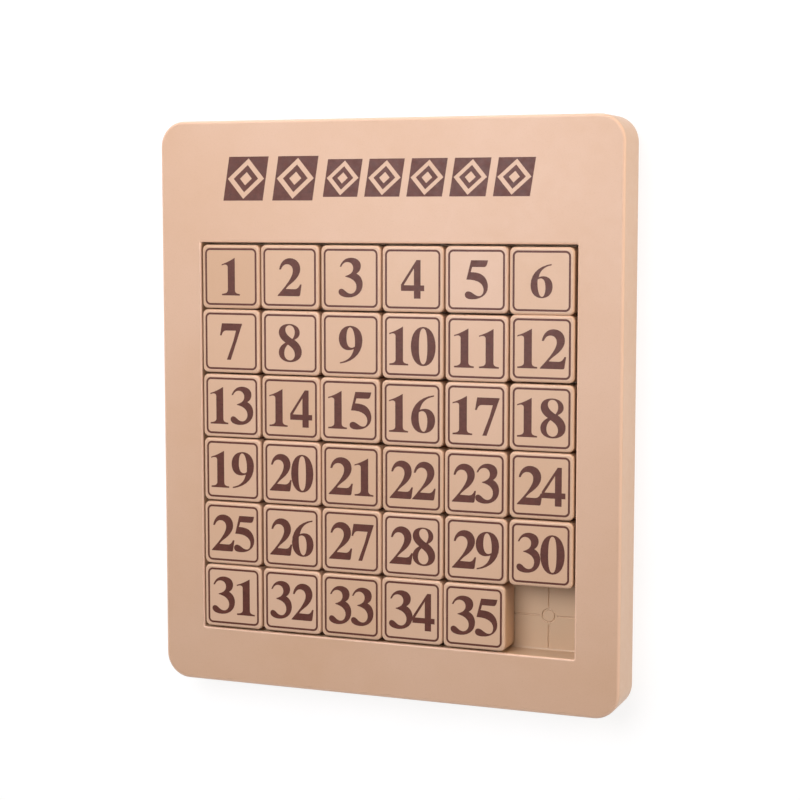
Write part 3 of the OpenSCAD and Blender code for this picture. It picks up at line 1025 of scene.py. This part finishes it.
def add_floor():
    """Plain floor that the board lies on, open under the board so that its back can be looked at."""
    inset = BACK_ROUND + FLOOR_LAP
    opening = rounded_ring(BOARD_HALF_X - inset, BOARD_HALF_Y - inset, BOARD_CORNER_R - inset, 0.0)
    bm = bmesh.new()
    rim = [bm.verts.new(point) for point in opening]
    steps = CORNER_STEPS + 1
    corners = [bm.verts.new((x * FLOOR_HALF, y * FLOOR_HALF, 0))
               for x, y in ((1, 1), (-1, 1), (-1, -1), (1, -1))]
    for quarter, corner in enumerate(corners):
        turn = rim[quarter * steps:(quarter + 1) * steps]
        for point, following in zip(turn, turn[1:]):
            bm.faces.new((point, corner, following))
        bm.faces.new((turn[-1], corner, corners[(quarter + 1) % 4], rim[(quarter + 1) * steps % len(rim)]))
    mesh = bpy.data.meshes.new("floor")
    bm.to_mesh(mesh)
    bm.free()
    floor = bpy.data.objects.new("floor", mesh)
    bpy.context.scene.collection.objects.link(floor)
    mesh.materials.append(studio_floor("studio_floor"))


def add_area_light(name, place_at, aim, size, power, colour):
    """Soft light; size is its width and its height."""
    light = bpy.data.lights.new(name, "AREA")
    light.shape = "ELLIPSE"
    light.size, light.size_y = size
    light.energy = power
    light.color = colour
    holder = bpy.data.objects.new(name, light)
    bpy.context.scene.collection.objects.link(holder)
    holder.location = place_at
    holder.rotation_euler = (Vector(aim) - Vector(place_at)).to_track_quat("-Z", "Y").to_euler()
    holder.visible_camera = False


# Where each light stands, the point that it is aimed at, its width and height, its power in watts
# and its colour. The key is high beyond the title band; the others are low, on the right and far
# beyond the top.
LIGHTS = {
    "key": ((-0.05, 0.152, 0.37), (0.02, 0.05, BEZEL_Z), (0.36, 0.36), 1.41, (1.0, 0.96, 1.0)),
    "side": ((0.42, 0.16, 0.09), (BOARD_HALF_X, 0, BEZEL_Z), (0.20, 0.14), 0.56, (1.0, 0.79, 0.52)),
    "back": ((-0.18, 0.60, 0.17), (0, 0.03, BEZEL_Z), (0.24, 0.24), 0.62, (1.0, 0.95, 0.88)),
}


def add_lights():
    """Soft lights round the board."""
    for name, settings in LIGHTS.items():
        add_area_light(name, *settings)


# The room's walls are bright up to a little above the horizon, and its light falls to a lower
# strength between the two heights, which are the upward parts of a direction of length one.
ROOM_COLOUR = (1.0, 0.985, 0.97, 1.0)
WALL_LIGHT = 1.0
ROOM_LIGHT = 0.26
WALL_TOP = (0.01, 0.06)


def add_room():
    """World light that depends on the height of the direction that it comes from."""
    world = bpy.data.worlds.new("studio")
    bpy.context.scene.world = world
    world.use_nodes = True
    tree = world.node_tree
    direction = tree.nodes.new("ShaderNodeTexCoord").outputs["Generated"]
    split = tree.nodes.new("ShaderNodeSeparateXYZ")
    height = tree.nodes.new("ShaderNodeMapRange")
    for socket, number in zip(MAP_SOCKETS, (*WALL_TOP, WALL_LIGHT, ROOM_LIGHT)):
        height.inputs[socket].default_value = number
    tree.links.new(direction, split.inputs[0])
    tree.links.new(split.outputs["Z"], height.inputs["Value"])
    tree.links.new(height.outputs["Result"], tree.nodes["Background"].inputs["Strength"])
    tree.nodes["Background"].inputs["Color"].default_value = ROOM_COLOUR


def set_display():
    """Plain display colours, with no film look."""
    settings = bpy.context.scene.view_settings
    settings.view_transform = "Standard"
    settings.look = "None"


# Camera: angles in degrees, distance in metres, lens in millimetres.
CAMERA_AIM = Vector((5.4, 3.5, 14.3)) * MM
CAMERA_AZIMUTH = 105.3
CAMERA_ELEVATION = 67.79
CAMERA_DISTANCE = 0.5013
CAMERA_LENS = 83.93


def add_camera():
    """Camera above the board and to its right, with the title band at the top of the picture."""
    azimuth, elevation = math.radians(CAMERA_AZIMUTH), math.radians(CAMERA_ELEVATION)
    back = Vector((math.sin(azimuth) * math.cos(elevation), -math.cos(azimuth) * math.cos(elevation),
                   math.sin(elevation)))
    up = Vector((0, 1, 0))
    up = (up - back * up.dot(back)).normalized()
    right = up.cross(back)
    turn = Matrix((right, up, back)).transposed().to_4x4()
    camera = bpy.data.objects.new("camera", bpy.data.cameras.new("camera"))
    bpy.context.scene.collection.objects.link(camera)
    camera.data.lens = CAMERA_LENS
    camera.data.clip_start = 0.01
    camera.matrix_world = Matrix.Translation(CAMERA_AIM + back * CAMERA_DISTANCE) @ turn
    bpy.context.scene.camera = camera


def finish_cad_nodes():
    """Plated steel for the discs, which keep their CAD shape."""
    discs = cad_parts["locating_discs"]
    discs.data.materials.clear()
    discs.data.materials.append(ZINC)


add_camera()
add_lights()
add_room()
set_display()
add_floor()
add_board_shell()
add_back_cover()
add_screw_cups()
add_screws()
add_tiles()
add_title_ornament()
finish_cad_nodes()
